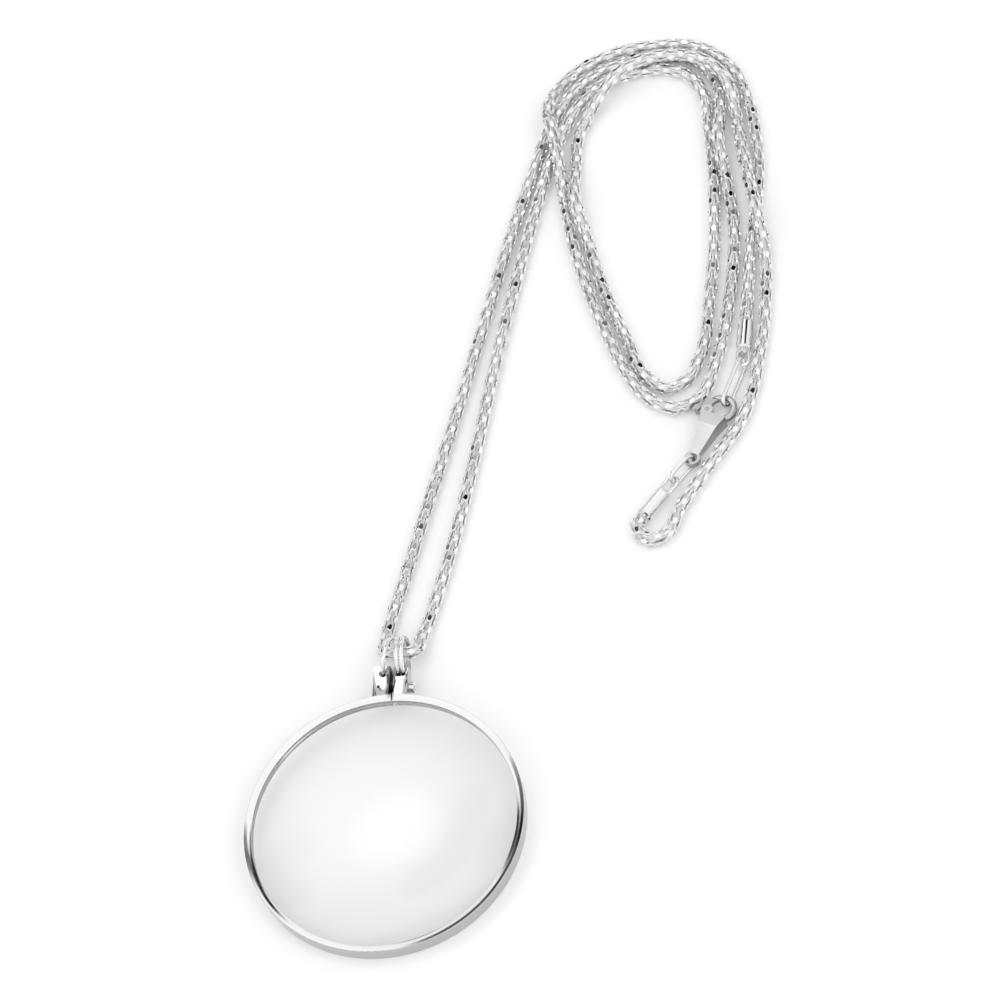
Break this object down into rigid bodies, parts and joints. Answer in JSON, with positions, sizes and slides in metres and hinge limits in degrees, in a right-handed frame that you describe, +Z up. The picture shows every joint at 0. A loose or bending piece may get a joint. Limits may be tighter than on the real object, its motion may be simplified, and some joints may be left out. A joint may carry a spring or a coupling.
{
  "type": "magnifier pendant necklace",
  "caption": "Round magnifying lens in a split silver rim with a clamp screw and upright bail rings, hung on a long woven chain with end caps, oval rings and a lobster clasp.",
  "frame": {"origin": "on the floor under the middle of the object's box, as it lies on a table", "axes": "+Y from the lens towards the far bend of the chain, +X towards the clasp's side, +Z up"},
  "size_m": [0.0874, 0.1852, 0.0078],
  "materials": {
    "polished_silver": "polished silver plate",
    "dark_silver": "polished silver plate, darker",
    "chain_silver": "bright woven silver plate",
    "lens_glass": "clear polished glass"
  },
  "bodies": {
    "necklace": {"rim": "polished_silver", "lens": "lens_glass", "clamp_screw": "dark_silver", "bail_ring_left": "polished_silver", "bail_ring_middle": "polished_silver", "bail_ring_right": "polished_silver", "chain_left": "chain_silver", "chain_right": "chain_silver", "end_cap_a": "polished_silver", "end_cap_b": "polished_silver", "jump_ring_a": "polished_silver", "jump_ring_b": "polished_silver", "clasp_body": "polished_silver", "clasp_pin": "dark_silver"},
    "clasp_lever": {"clasp_lever": "dark_silver"}
  },
  "joints": [
    {"name": "clasp_gate", "type": "hinge", "parent": "necklace", "child": "clasp_lever", "pos_m": [0.03279, 0.00897, 0.0014], "axis": [0, 0, -1], "range_deg": [0, 18], "stiffness_Nm_per_rad": 0.0002, "springref_deg": -17.19}
  ]
}
